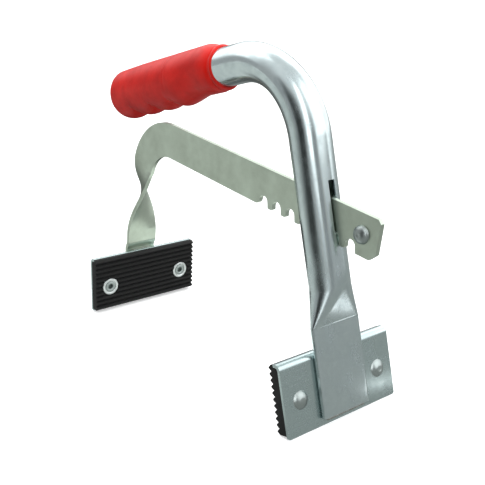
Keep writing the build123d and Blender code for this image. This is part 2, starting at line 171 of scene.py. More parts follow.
class Graph(Nodes):
    """A material and its node tree."""

    def __init__(self, name: str) -> None:
        """Starts an empty material.

        Args:
            name: name of the material.
        """
        self.material = bpy.data.materials.new(name)
        self.material.use_nodes = True
        super().__init__(self.material.node_tree)
        self.tree.nodes.clear()
        self.shader = self.tree.nodes.new("ShaderNodeBsdfPrincipled")
        output = self.tree.nodes.new("ShaderNodeOutputMaterial")
        self.link(self.shader.outputs[0], output.inputs[0])

    def place(
        self, pattern: Pattern, scale: Triple, turn_y: float = 0.0
    ) -> object:
        """Coordinates stretched for a pattern.

        Args:
            pattern: which coordinates to read.
            scale: repeats per metre along each axis.
            turn_y: angle about Y, in radians, before stretching.

        Returns:
            The vector socket.
        """
        source = self.tree.nodes.new("ShaderNodeTexCoord").outputs[pattern.value]
        if turn_y:
            turn = self.tree.nodes.new("ShaderNodeMapping")
            turn.inputs["Rotation"].default_value = (0, turn_y, 0)
            self.link(source, turn.inputs["Vector"])
            source = turn.outputs[0]
        stretch = self.tree.nodes.new("ShaderNodeMapping")
        stretch.inputs["Scale"].default_value = scale
        self.link(source, stretch.inputs["Vector"])
        return stretch.outputs[0]

    def noise(self, where: object, scale: float, detail: float = 3.0, rough: float = 0.5) -> object:
        """Fractal noise from 0 to 1.

        Args:
            where: vector socket.
            scale: size factor of the noise.
            detail: number of finer layers.
            rough: strength of the finer layers.

        Returns:
            The value socket.
        """
        node = self.tree.nodes.new("ShaderNodeTexNoise")
        node.inputs["Scale"].default_value = scale
        node.inputs["Detail"].default_value = detail
        node.inputs["Roughness"].default_value = rough
        self.link(where, node.inputs["Vector"])
        return node.outputs[0]

    def cells(self, where: object, scale: float) -> object:
        """Distance to the nearest cell centre, for specks.

        Args:
            where: vector socket.
            scale: cells per metre.

        Returns:
            The value socket.
        """
        node = self.tree.nodes.new("ShaderNodeTexVoronoi")
        node.inputs["Scale"].default_value = scale
        self.link(where, node.inputs["Vector"])
        return node.outputs["Distance"]

    def mix(self, amount: object, first: object, second: object) -> object:
        """Mix of two colours.

        Args:
            amount: socket or number, 0 gives the first colour.
            first: colour or socket.
            second: colour or socket.

        Returns:
            The colour socket.
        """
        node = self.tree.nodes.new("ShaderNodeMix")
        node.data_type = "RGBA"
        self.feed(amount, node.inputs[0])
        self.feed(first, node.inputs[6])
        self.feed(second, node.inputs[7])
        return node.outputs[2]

    def bump(self, height: object, depth: float, strength: float, under: object = None) -> object:
        """Bump from a height.

        Args:
            height: value socket.
            depth: height of the relief, in metres.
            strength: share of the bump that is used.
            under: normal socket of another bump to add to.

        Returns:
            The normal socket.
        """
        node = self.tree.nodes.new("ShaderNodeBump")
        node.inputs["Strength"].default_value = strength
        node.inputs["Distance"].default_value = depth
        self.link(height, node.inputs["Height"])
        if under is not None:
            self.link(under, node.inputs["Normal"])
        return node.outputs[0]

    def edges(self, radius: float, low: float, high: float) -> object:
        """Mask of the edges, 1 on the edge, where zinc gets a painted highlight and rubber its dust.

        Args:
            radius: reach of the mask, in metres.
            low: bend of the surface where the mask begins.
            high: bend of the surface where it is full.

        Returns:
            The value socket.
        """
        bevel = self.tree.nodes.new("ShaderNodeBevel")
        bevel.samples = 4
        bevel.inputs["Radius"].default_value = radius
        geometry = self.tree.nodes.new("ShaderNodeNewGeometry")
        dot = self.tree.nodes.new("ShaderNodeVectorMath")
        dot.operation = "DOT_PRODUCT"
        self.link(bevel.outputs[0], dot.inputs[0])
        self.link(geometry.outputs["Normal"], dot.inputs[1])
        return self.span(dot.outputs["Value"], 1 - low, 1 - high, 0.0, 1.0)

    def set(self, **values: object) -> None:
        """Sets or links the shader's inputs, with underscores for spaces in their names."""
        for name, value in values.items():
            self.feed(value, self.shader.inputs[name.replace("_", " ")])


# ---- finishes
@dataclass(frozen=True)
class ZincPlate:
    """Zinc plate over steel.

    Attributes:
        name: name of the material.
        colour: clean plate.
        dull: clouded plate.
        gloss: roughness where the plate is clean.
        matt: roughness where it is clouded.
        grain: repeats per metre of the fine streaks, along each axis.
        pattern: coordinates that the streaks follow.
        turn_y: angle about Y that lines the streaks up with the metal.
        relief: height of the streaks, in metres.
        highlight_reach: reach of the painted highlight that lightens the edges, in metres.
    """

    name: str
    colour: Colour
    dull: Colour
    gloss: float
    matt: float
    grain: Triple = (40.0, 900.0, 900.0)
    pattern: Pattern = Pattern.OBJECT
    turn_y: float = 0.0
    relief: float = 0.00002
    highlight_reach: float = 0.0006

    def make(self) -> Material:
        """Builds the material.

        Returns:
            The material.
        """
        g = Graph(self.name)
        plain = g.place(Pattern.OBJECT, (1, 1, 1))
        cloud = g.noise(plain, 38.0, 5.0, 0.62)
        bloom = g.noise(plain, 160.0, 4.0, 0.6)
        speck = g.cells(plain, 900.0)
        streak = g.noise(g.place(self.pattern, self.grain, self.turn_y), 1.0, 4.0, 0.6)
        both = g.math("ADD", cloud, g.math("MULTIPLY", bloom, 0.45))
        clouded = g.span(both, 0.56, 0.92, 0.0, 1.0)
        colour = g.mix(clouded, self.colour, self.dull)
        colour = g.mix(g.span(speck, 0.06, 0.2, 0.22, 0.0), colour, (0.22, 0.23, 0.22, 1))
        # painted highlight: the plate colour is lightened towards pale grey along the edges
        edge = g.edges(self.highlight_reach, 0.02, 0.3)
        colour = g.mix(g.math("MULTIPLY", edge, 0.32), colour, (0.86, 0.87, 0.86, 1))
        rough = g.span(clouded, 0, 1, self.gloss, self.matt)
        rough = g.math("ADD", rough, g.span(streak, 0.3, 0.7, -0.02, 0.03))
        normal = g.bump(streak, self.relief, 0.5)
        normal = g.bump(bloom, 0.00004, 0.2, normal)
        g.set(Base_Color=colour, Metallic=1.0, Roughness=rough, Normal=normal)
        return g.material


@dataclass(frozen=True)
class SatinVinyl:
    """Thick dipped vinyl, satin, faintly pebbled and scuffed; deep is a darker tone mixed in by a
    mottle.
    """

    name: str
    colour: Colour
    deep: Colour

    def make(self) -> Material:
        """Builds the material.

        Returns:
            The material.
        """
        g = Graph(self.name)
        plain = g.place(Pattern.OBJECT, (1, 1, 1))
        mottle = g.noise(plain, 60.0, 4.0, 0.6)
        pebble = g.noise(plain, 1500.0, 3.0, 0.6)
        ripple = g.noise(plain, 120.0, 2.0, 0.5)
        scuff = g.noise(g.place(Pattern.SURFACE, (90, 900, 1)), 1.0, 3.0, 0.7)
        colour = g.mix(g.span(mottle, 0.35, 0.7, 0.0, 1.0), self.colour, self.deep)
        rough = g.math("ADD", g.span(mottle, 0.3, 0.7, 0.27, 0.4), g.span(scuff, 0.6, 0.8, 0.0, 0.12))
        normal = g.bump(ripple, 0.0006, 0.22, g.bump(pebble, 0.00005, 0.5))
        g.set(Base_Color=colour, Roughness=rough, Normal=normal, IOR=1.5)
        g.set(Specular_IOR_Level=0.18)
        return g.material


@dataclass(frozen=True)
class MouldedRubber:
    """Matt black rubber, with dust on the edges of its ribs."""

    name: str
    colour: Colour
    dust: Colour

    def make(self) -> Material:
        """Builds the material.

        Returns:
            The material.
        """
        g = Graph(self.name)
        plain = g.place(Pattern.OBJECT, (1, 1, 1))
        patch = g.noise(plain, 90.0, 5.0, 0.65)
        grain = g.noise(plain, 2200.0, 3.0, 0.6)
        edge = g.edges(0.0007, 0.02, 0.4)
        dusty = g.math("MULTIPLY", g.math("ADD", edge, 0.25), g.span(patch, 0.35, 0.75, 0.1, 0.9))
        colour = g.mix(dusty, self.colour, self.dust)
        g.set(Base_Color=colour, Roughness=g.span(patch, 0.3, 0.7, 0.5, 0.72), IOR=1.5)
        g.set(Specular_IOR_Level=0.2)
        g.set(Normal=g.bump(grain, 0.00006, 0.6))
        return g.material


@dataclass(frozen=True)
class WeldMetal:
    """Weld bead under thin plate: darker and uneven, with a heat tint in patches."""

    name: str
    colour: Colour
    tint: Colour

    def make(self) -> Material:
        """Builds the material.

        Returns:
            The material.
        """
        g = Graph(self.name)
        plain = g.place(Pattern.OBJECT, (1, 1, 1))
        patch = g.noise(plain, 260.0, 5.0, 0.7)
        grit = g.noise(plain, 1400.0, 4.0, 0.7)
        colour = g.mix(g.span(patch, 0.35, 0.65, 0.0, 1.0), self.colour, self.tint)
        g.set(Base_Color=colour, Metallic=1.0, Roughness=g.span(grit, 0.3, 0.7, 0.32, 0.62))
        g.set(Normal=g.bump(patch, 0.0003, 0.5, g.bump(grit, 0.00008, 0.6)))
        return g.material


@dataclass(frozen=True)
class StudioPaper:
    """Plain pale floor with some light of its own."""

    name: str = "studio_paper"
    shade: float = 0.8
    glow: float = 0.4

    def make(self) -> Material:
        """Builds the material.

        Returns:
            The material.
        """
        g = Graph(self.name)
        g.set(Base_Color=(self.shade, self.shade, self.shade, 1), Roughness=0.9)
        g.set(Emission_Color=(1, 1, 1, 1), Emission_Strength=self.glow)
        return g.material


class Finishes:
    """Every finish of the clamp, made once and kept by slot."""

    made: dict[Slot, Material] = {}

    @classmethod
    def build(cls) -> None:
        """Makes the materials."""
        bar_turn = radians(-6.57)
        finishes = {
            Slot.TUBE: ZincPlate(
                "bright_zinc_tube", (0.575, 0.65, 0.655, 1), (0.46, 0.53, 0.54, 1), 0.15, 0.3,
                (1100.0, 30.0, 1.0), Pattern.SURFACE, 0.0, 0.000006, 0.0004,
            ),
            Slot.BAR: ZincPlate(
                "dull_zinc_bar", (0.51, 0.58, 0.49, 1), (0.43, 0.485, 0.405, 1), 0.3, 0.4,
                (25.0, 600.0, 800.0), Pattern.OBJECT, bar_turn,
            ),
            Slot.PLATE: ZincPlate(
                "dull_zinc_sheet", (0.47, 0.555, 0.55, 1), (0.395, 0.47, 0.47, 1), 0.2, 0.32,
                (700.0, 30.0, 700.0), relief=0.000007,
            ),
            Slot.RIVET: ZincPlate(
                "zinc_rivet", (0.38, 0.425, 0.415, 1), (0.31, 0.345, 0.335, 1), 0.28, 0.42,
                (500.0, 500.0, 500.0),
            ),
            Slot.WASHER: ZincPlate(
                "bright_zinc_washer", (0.72, 0.75, 0.75, 1), (0.58, 0.61, 0.6, 1), 0.2, 0.34,
                (500.0, 500.0, 500.0),
            ),
            Slot.WELD: WeldMetal("weld_bead", (0.46, 0.48, 0.46, 1), (0.26, 0.25, 0.22, 1)),
            Slot.GRIP: SatinVinyl("red_vinyl", (0.70, 0.014, 0.008, 1), (0.50, 0.008, 0.005, 1)),
            Slot.PAD: MouldedRubber("black_rubber", (0.007, 0.007, 0.007, 1), (0.026, 0.026, 0.024, 1)),
        }
        for slot, finish in finishes.items():
            cls.made[slot] = finish.make()


# ---- places and meshes
@dataclass(frozen=True)
class Place:
    """A frame of its own inside the clamp, in millimetres, with +Z up and Y across.

    Attributes:
        origin: where it sits, in metres.
        outward: its X direction.
    """

    origin: Vector
    outward: Vector

    def matrix(self) -> Matrix:
        """Matrix from its millimetres to the scene's metres.

        Returns:
            The matrix.
        """
        x = self.outward.normalized()
        z = Vector((-x.z, 0.0, x.x))
        if z.z < 0:
            z = -z
        y = z.cross(x)
        turn = Matrix((x, y, z)).transposed().to_4x4()
        return Matrix.Translation(self.origin) @ turn @ Matrix.Scale(MM, 4)


def as_object(name: str, bm: BMesh, material: Material) -> bpy.types.Object:
    """Turns a bmesh, in metres, into an object of the scene.

    Args:
        name: name of the object and of its mesh.
        bm: the mesh; it is freed.
        material: its finish.

    Returns:
        The object.
    """
    mesh = bpy.data.meshes.new(name)
    bm.to_mesh(mesh)
    bm.free()
    mesh.materials.append(material)
    made = bpy.data.objects.new(name, mesh)
    bpy.context.scene.collection.objects.link(made)
    return made


@dataclass
class Piece:
    """One finished mesh with its body, slot and the CAD nodes that it stands for."""

    name: str
    body: Body
    slot: Slot
    nodes: tuple[str, ...]

    def add(
        self, bm: BMesh, sharp: float = 32.0
    ) -> bpy.types.Object:
        """Turns a bmesh, in metres, into the finished object.

        Args:
            bm: the mesh; it is freed.
            sharp: angle in degrees above which an edge stays sharp.

        Returns:
            The object.
        """
        piece = as_object(self.name, bm, Finishes.made[self.slot])
        piece.data.shade_smooth()
        piece.data.set_sharp_from_angle(angle=radians(sharp))
        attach(piece, self.body.value)
        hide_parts(*self.nodes)
        LOG.info("%s: %d faces, on %s", self.name, len(piece.data.polygons), self.body.value)
        return piece

    def add_flat(self, bm: BMesh) -> None:
        """Adds a softened flat piece, whose large faces keep their flat shading.

        Args:
            bm: the mesh; it is freed.
        """
        flat = self.add(bm, FLAT_SHARP).modifiers.new("flat", "WEIGHTED_NORMAL")
        flat.weight = 90
        flat.keep_sharp = True


class Shapes:
    """Meshes made from rings, spins and softened copies."""

    @staticmethod
    def rings(
        stations: list[Ring], segments: int, caps: tuple[bool, bool]
    ) -> BMesh:
        """Draws a ring through a row of stations.

        Args:
            stations: for each ring, a function from the angle round it to a point.
            segments: number of points round the ring.
            caps: whether the first and the last ring are filled.

        Returns:
            The mesh, with a UV map of the distance round it and along it.
        """
        bm = bmesh.new()
        bmesh.ops.create_circle(bm, cap_ends=False, radius=1.0, segments=segments)
        bm.verts.ensure_lookup_table()
        layers = [list(bm.verts)]
        for _ in stations[1:]:
            layers.append(Shapes.extruded(bm, layers[-1]))
        for ring, station in zip(layers, stations):
            for number, vert in enumerate(ring):
                vert.co = station(2 * pi * number / segments)
        Shapes.unroll(bm, layers)
        for capped, ring in zip(caps, (layers[0], layers[-1])):
            if capped:
                bmesh.ops.contextual_create(bm, geom=ring)
        bmesh.ops.recalc_face_normals(bm, faces=bm.faces)
        return bm

    @staticmethod
    def extruded(bm: BMesh, ring: list[BMVert]) -> list[BMVert]:
        """Extrudes a ring of points once.

        Args:
            bm: the mesh.
            ring: its last ring.

        Returns:
            The new ring, in the same order.
        """
        old = set(ring)
        edges = {edge for vert in ring for edge in vert.link_edges if edge.other_vert(vert) in old}
        made = bmesh.ops.extrude_edge_only(bm, edges=list(edges))["geom"]
        fresh = {item for item in made if isinstance(item, BMVert)}
        partner = {}
        for vert in fresh:
            for edge in vert.link_edges:
                if edge.other_vert(vert) in old:
                    partner[edge.other_vert(vert)] = vert
        return [partner[vert] for vert in ring]

    @staticmethod
    def unroll(bm: BMesh, layers: list[list[BMVert]]) -> None:
        """Writes a UV map: turn round the ring in U, distance along in V, both in metres.

        Args:
            bm: the mesh.
            layers: its rings in order.
        """
        count = len(layers[0])
        where, travelled = {}, 0.0
        for row, ring in enumerate(layers):
            if row:
                travelled += (ring[0].co - layers[row - 1][0].co).length * MM
            for number, vert in enumerate(ring):
                where[vert] = (number, travelled)
        uv = bm.loops.layers.uv.new("UVMap")
        for face in bm.faces:
            wraps = {where[vert][0] for vert in face.verts} >= {0, count - 1}
            for loop in face.loops:
                number, along = where[loop.vert]
                turn = count if wraps and number == 0 else number
                loop[uv].uv = (turn / count * UNROLLED_TURN, along)

    @staticmethod
    def spun(outline: list[Pair]) -> BMesh:
        """Spins an outline about the X axis.

        Args:
            outline: points as distance along X and radius, ending on the axis at both ends or closed.

        Returns:
            The closed mesh.
        """
        bm = bmesh.new()
        verts = [bm.verts.new((along, 0.0, radius)) for along, radius in outline]
        edges = [bm.edges.new(pair) for pair in zip(verts, verts[1:])]
        bmesh.ops.spin(
            bm, geom=verts + edges, cent=(0, 0, 0), axis=(1, 0, 0), angle=2 * pi,
            steps=LATHE_STEPS, use_merge=True,
        )
        bmesh.ops.remove_doubles(bm, verts=bm.verts, dist=0.0005)
        bmesh.ops.recalc_face_normals(bm, faces=bm.faces)
        return bm

    @staticmethod
    def softened(node: str, width: float, steps: int) -> BMesh:
        """Copy of a CAD node with its edges broken, in metres.

        Args:
            node: the CAD node.
            width: width of the broken edge, in millimetres.
            steps: segments of the broken edge.

        Returns:
            The mesh.
        """
        bm = bmesh.new()
        bm.from_mesh(frame["nodes"][node].data)
        bmesh.ops.remove_doubles(bm, verts=bm.verts, dist=0.000002)
        bmesh.ops.dissolve_limit(bm, angle_limit=radians(0.4), verts=bm.verts, edges=bm.edges)
        bend = radians(BROKEN_ABOVE)
        chosen = [e for e in bm.edges if len(e.link_faces) == 2 and e.calc_face_angle(0.0) > bend]
        bmesh.ops.bevel(
            bm, geom=chosen, offset=width * MM, offset_type="OFFSET", affect="EDGES",
            segments=steps, profile=0.5, clamp_overlap=True, material=-1,
        )
        return bm


# ---- the tube
@dataclass
class BentTube:
    """Tube flattened below, slotted for the bar and bent over into the handle, in millimetres."""

    place: Place
    radius: float = 12.5
    wall: float = 1.9
    blade_start: float = 4.5
    blade_top: float = 58.0
    blade_half_width: float = 19.2
    blade_half_thick: float = 2.0
    round_from: float = 80.0
    stem_height: float = 166.0
    bend_radius: float = 52.0
    bend_angle: float = 88.5
    bend_flattening: float = 1.0
    handle_length: float = 142.0
    slot_bottom: float = 111.4
    slot_top: float = 141.26
    inner_slot_bottom: float = 104.25
    slot_steps: int = 2
    segments: int = 64

    def low_ring(self, height: float) -> Ring:
        """Ring of the blade, the taper or the stem: two half rounds joined by flats.

        Args:
            height: level of the ring.

        Returns:
            The ring, with its points spaced evenly.
        """
        share = min(1.0, max(0.0, (height - self.blade_top) / (self.round_from - self.blade_top)))
        share = share * (1.0 + 0.2 * (1.0 - share))
        half_thick = self.blade_half_thick + share * (self.radius - self.blade_half_thick)
        flat = (self.blade_half_width - self.blade_half_thick) * (1.0 - share)
        quarter = flat + half_thick * pi / 2

        def point(angle: float) -> Vector:
            """Point of the ring, 0 at the outer side.

            Args:
                angle: angle round the ring, in radians.

            Returns:
                The point, in millimetres.
            """
            from_side = abs(((angle + pi / 2) % pi) - pi / 2) / (pi / 2) * quarter
            turn = max(0.0, from_side - flat) / half_thick
            x, y = half_thick * cos(turn), min(from_side, flat) + half_thick * sin(turn)
            return Vector((x if cos(angle) >= 0 else -x, y if sin(angle) >= 0 else -y, height))

        return point

    def bend_ring(self, turn: float, beyond: float = 0.0) -> Ring:
        """Ring of the bend or of the handle.

        Args:
            turn: angle along the bend, in radians.
            beyond: distance past it along the handle.

        Returns:
            The ring.
        """
        squash = self.bend_flattening * sin(pi * min(1.0, turn / radians(self.bend_angle))) ** 2
        outward = Vector((cos(turn), 0, sin(turn)))
        along = Vector((-sin(turn), 0, cos(turn)))
        centre = Vector((-self.bend_radius, 0, self.stem_height))
        centre = centre + outward * self.bend_radius + along * beyond

        def point(angle: float) -> Vector:
            """Point of the ring at an angle."""
            x, y = (self.radius - squash) * cos(angle), (self.radius + 0.3 * squash) * sin(angle)
            return centre + outward * x + Vector((0, y, 0))

        return point

    def stations(self) -> list[Ring]:
        """Rings of the whole tube.

        Returns:
            A function for each ring, from the blade's end to the handle's end.
        """
        taper = [self.blade_top + share * (self.round_from - self.blade_top) for share in TAPER_SHARES]
        levels = [self.blade_start, 20, 40, self.blade_top - 0.6, *taper, 90]
        levels += [self.inner_slot_bottom, self.slot_bottom, 121, 131, self.slot_top, 150]
        rings = [self.low_ring(level) for level in levels]
        bend = radians(self.bend_angle)
        rings += [self.bend_ring(bend * step / BEND_STEPS) for step in range(BEND_STEPS + 1)]
        shares = (0.05, 0.1, 0.4, 0.7, 1.0)
        rings += [self.bend_ring(bend, self.handle_length * share) for share in shares]
        return rings

    def cut_slot(self, bm: BMesh) -> None:
        """Removes the faces of the two slots, outer and inner wall.

        Args:
            bm: the tube's skin, in millimetres.
        """
        half = self.radius * sin(2 * pi * self.slot_steps / self.segments) + 0.05
        doomed = []
        for face in bm.faces:
            middle = face.calc_center_median()
            low = self.slot_bottom if middle.x > 0 else self.inner_slot_bottom
            on_stem = middle.x > -2 * self.radius
            if on_stem and abs(middle.y) < half and low < middle.z < self.slot_top:
                doomed.append(face)
        bmesh.ops.delete(bm, geom=doomed, context="FACES")

    def build(self) -> None:
        """Makes the tube."""
        bm = Shapes.rings(self.stations(), self.segments, (False, False))
        self.cut_slot(bm)
        bmesh.ops.recalc_face_normals(bm, faces=bm.faces)
        bm.transform(self.place.matrix())
        piece = Piece("tube", Body.HANDLE, Slot.TUBE, ("handle_tube",)).add(bm)
        wall = piece.modifiers.new("wall", "SOLIDIFY")
        wall.thickness = self.wall * MM
        wall.offset = -1.0
        rim = piece.modifiers.new("rim", "BEVEL")
        rim.width = 0.35 * MM
        rim.segments = 2
        rim.limit_method = "ANGLE"
        rim.angle_limit = radians(50)
        rim.harden_normals = True


# ---- the grip
@dataclass
class Grip:
    """Vinyl sleeve with a rolled mouth, finger rests and a rounded end, in millimetres."""

    tube: BentTube
    start: float = 16.0
    end: float = 146.0
    end_round: float = 7.0
    lip: float = 4.4
    side_share: float = 0.89
    crest_first: float = 61.5
    crest_pitch: float = 24.2
    crests: int = 4
    valley_depth: float = 4.4
    seam_at: float = 68.5
    segments: int = 96
    inside: float = 12.55

    def neck(self, distance: float, full: float, length: float) -> float:
        """Radius near the mouth: a rolled lip, a crease and a flare.

        Args:
            distance: distance past the tube's bend.
            full: radius that the flare reaches.
            length: length of the flare.

        Returns:
            The radius from the handle's axis.
        """
        from_mouth = distance - self.start
        if from_mouth < self.lip:
            return 13.1 + 1.5 * sin(pi * from_mouth / self.lip) ** 0.7
        share = min(1.0, (from_mouth - self.lip) / length)
        return 13.1 + (full - 13.1) * sin(pi / 2 * share) ** 0.8

    def top(self, distance: float) -> float:
        """Radius of the upper side."""
        return self.neck(distance, 17.0, 11.0) - 0.6 * max(0.0, distance - 112.0) / 30.0

    def under(self, distance: float) -> float:
        """Radius of the underside at the crests of the finger rests.

        Args:
            distance: distance past the tube's bend.

        Returns:
            The radius from the handle's axis.
        """
        share = min(1.0, max(0.0, (distance - 38.0) / 27.0))
        slope = share * share * (3 - 2 * share)
        return self.neck(distance, 15.2, 4.0) + slope * 4.0 + max(0.0, distance - 70.0) * 0.016

    def rest(self, distance: float) -> float:
        """Depth of the hollow between two crests.

        Args:
            distance: distance past the tube's bend.

        Returns:
            The depth, 0 on a crest and past the rests.
        """
        offset = (distance - self.crest_first) / self.crest_pitch
        if offset < 0 or offset > self.crests - 0.5:
            return 0.0
        return self.valley_depth * (1 - abs(cos(pi * offset))) ** 1.3

    def ring(self, distance: float, shrink: float = 0.0) -> Ring:
        """Ring of the grip's outer skin.

        Args:
            distance: distance past the tube's bend.
            shrink: how far the ring is drawn in.

        Returns:
            The ring.
        """
        top, under = self.top(distance), self.under(distance)
        seam = 0.28 * exp(-((distance - self.seam_at) / 0.7) ** 2)
        middle, radius = (top - under) / 2, (top + under) / 2 - shrink
        axis_ring = self.tube.bend_ring(radians(self.tube.bend_angle), distance)
        centre = (axis_ring(0.0) + axis_ring(pi)) / 2
        outward = (axis_ring(0.0) - centre).normalized()

        def point(angle: float) -> Vector:
            """Point of the ring, 0 on top.

            Args:
                angle: angle round the ring, in radians.

            Returns:
                The point, in millimetres.
            """
            below = max(0.0, -cos(angle))
            above = max(0.0, 0.35 + cos(angle))
            reach = radius - self.rest(distance) * below ** 3 - seam * min(1.0, 1.6 * above)
            across = Vector((0, self.side_share * reach * sin(angle), 0))
            return centre + outward * (middle + reach * cos(angle)) + across

        return point

    def inner_ring(self, distance: float) -> Ring:
        """Ring of the bore.

        Args:
            distance: distance past the tube's bend.

        Returns:
            The ring.
        """
        outer = self.tube.bend_ring(radians(self.tube.bend_angle), distance)
        centre = (outer(0.0) + outer(pi)) / 2

        def point(angle: float) -> Vector:
            """Point of the bore at an angle."""
            return centre + (outer(angle) - centre).normalized() * self.inside

        return point

    def build(self) -> None:
        """Makes the grip."""
        stations = [self.inner_ring(self.start + 8), self.inner_ring(self.start + 0.4)]
        stations += [self.ring(self.start + 0.02, 0.35), self.ring(self.start + 0.15)]
        straight_end = self.end - self.end_round
        fine = [self.start + 0.4 * step for step in range(1, 16)]
        steps = int((straight_end - fine[-1]) / 0.9)
        fine += [fine[-1] + (straight_end - fine[-1]) * step / steps for step in range(1, steps + 1)]
        stations += [self.ring(distance) for distance in fine]
        for step in range(1, ROUND_STEPS + 1):
            turn = pi / 2 * step / ROUND_STEPS
            past, shrink = self.end_round * sin(turn), self.end_round * (1 - cos(turn))
            stations.append(self.ring(straight_end + past, shrink))
        for shrink in (9.5, 13.0, 16.5):
            stations.append(self.ring(self.end, shrink))
        bm = Shapes.rings(stations, self.segments, (True, True))
        bm.transform(self.tube.place.matrix())
        Piece("grip_sleeve", Body.HANDLE, Slot.GRIP, ("grip",)).add(bm, 50.0)


# ---- jaws
@dataclass
class Jaw:
    """A plate, its pad, two rivets with their washers, and the weld beads, in millimetres."""

    name: str
    place: Place
    body: Body
    left: int
    spacing: float = 65.0
    rivet_height: float = 20.0
    plate: float = 2.0
    pad: float = 5.3
    head_radius: float = 5.5
    head_height: float = 2.6
    dimple_radius: float = 2.0
    dimple_depth: float = 0.12
    shank_radius: float = 3.0
    tail_radius: float = 4.2
    bore_radius: float = 1.9
    washer_radius: float = 6.75
    seat: float = 0.7

    def spot(self, side: int) -> Matrix:
        """Matrix to the rivet's place on one side."""
        return self.place.matrix() @ Matrix.Translation((0, side * self.spacing / 2, self.rivet_height))

    def rivet_outline(self) -> list[Pair]:
        """Outline of a rivet: dimpled dome, shank, and the hollow end turned over.

        Returns:
            Points as distance along the rivet and radius.
        """
        ball = (self.head_radius ** 2 + self.head_height ** 2) / (2 * self.head_height)
        outline = [(self.head_height - self.dimple_depth, 0.0)]
        for step in range(1, 5):
            reach = self.dimple_radius * step / 4
            drop = self.dimple_depth * (1 - (step / 4) ** 2)
            outline.append((self.head_height - ball + sqrt(ball ** 2 - reach ** 2) - drop, reach))
        for step in range(1, 9):
            reach = self.dimple_radius + (self.head_radius - self.dimple_radius) * step / 8
            outline.append((self.head_height - ball + sqrt(ball ** 2 - reach ** 2), reach))
        outline += [(-0.05, self.head_radius - 0.1), (-0.05, self.shank_radius)]
        seat = -self.plate - self.pad - self.seat
        outline += [(seat, self.shank_radius), (seat, self.tail_radius - 0.4)]
        lip = (self.tail_radius - self.bore_radius) / 2
        for step in range(0, 9):
            turn = pi * step / 8
            outline.append((seat - 0.15 - 0.75 * sin(turn), self.bore_radius + lip + lip * cos(turn)))
        return outline + [(seat + 3.2, self.bore_radius), (seat + 3.2, 0.0)]

    def washer_outline(self) -> list[Pair]:
        """Outline of a cupped washer with a rounded rim.

        Returns:
            Points as distance along the rivet and radius.
        """
        base = -self.plate - self.pad
        cup = self.tail_radius + 0.3
        rim_middle, rim_half = (self.washer_radius + cup) / 2, (self.washer_radius - cup) / 2
        outline = [(base, self.shank_radius + 0.1), (base, self.washer_radius - 0.15)]
        for step in range(0, 9):
            turn = pi * step / 8
            outline.append((base - 0.8 - 0.7 * sin(turn), rim_middle + rim_half * cos(turn)))
        outline += [(base - self.seat, cup), (base - self.seat, self.shank_radius + 0.1)]
        return outline + [outline[0]]

    def fasten(self) -> None:
        """Makes the rivets and the washers."""
        for side_name, side in (("left", self.left), ("right", -self.left)):
            for kind, slot, outline in (
                ("rivet", Slot.RIVET, self.rivet_outline()),
                ("washer", Slot.WASHER, self.washer_outline()),
            ):
                bm = Shapes.spun(outline)
                bm.transform(self.spot(side))
                node = f"{self.name}_{side_name}_{kind}"
                Piece(f"{node}_turned", self.body, slot, (node,)).add(bm)

    def clothe(self) -> None:
        """Makes the plate and the pad."""
        for kind, slot, width, steps in (("plate", Slot.PLATE, 0.35, 3), ("pad", Slot.PAD, 0.22, 2)):
            node = f"{self.name}_jaw_{kind}"
            piece = Piece(f"{self.name}_{kind}", self.body, slot, (node,))
            piece.add_flat(Shapes.softened(node, width, steps))


@dataclass
class Bead:
    """A weld bead: overlapping ripples along a line, in its jaw's millimetres.

    Attributes:
        size: half width and half height of its section.
        tilt: direction of its crest in the plane across the bead, in degrees from the outward X.
        ripple: length of one ripple.
    """

    node: str
    jaw: Jaw
    start: Vector
    end: Vector
    size: Pair = (2.0, 1.4)
    tilt: float = 45.0
    ripple: float = 1.7

    def build(self) -> None:
        """Makes the bead."""
        length = (self.end - self.start).length
        along = (self.end - self.start) / length
        side = Vector((1, 0, 0))
        other = along.cross(side)
        turn = radians(self.tilt)
        crest = side * cos(turn) + other * sin(turn)
        wide = along.cross(crest)
        count = ceil(length / BEAD_STEP)

        def station(step: int) -> Ring:
            """Ring of the bead.

            Args:
                step: number of the ring, 0 at the start.

            Returns:
                The ring.
            """
            distance = length * step / count
            end_share = min(1.0, distance / 2.0, (length - distance) / 2.0)
            closing = sqrt(max(0.02, 1 - (1 - end_share) ** 2))
            wave = abs(sin(pi * distance / self.ripple)) ** 0.6
            wander = noise.noise(self.start * 0.3 + along * distance * 0.35)
            swell = closing * (0.86 + 0.14 * wave + 0.12 * wander)

            def point(angle: float) -> Vector:
                """Point of the bead.

                Args:
                    angle: angle round the ring, in radians.

                Returns:
                    The point, in millimetres.
                """
                lag = 0.5 * (1 - cos(angle)) * self.ripple * 0.4
                across = wide * self.size[0] * sin(angle) + crest * self.size[1] * cos(angle)
                return self.start + along * (distance + lag - 0.3) + across * swell

            return point

        bm = Shapes.rings([station(step) for step in range(count + 1)], BEAD_SIDES, (True, True))
        bm.transform(self.jaw.place.matrix())
        Piece(f"{self.node}_bead", self.jaw.body, Slot.WELD, (self.node,)).add(bm, 60.0)


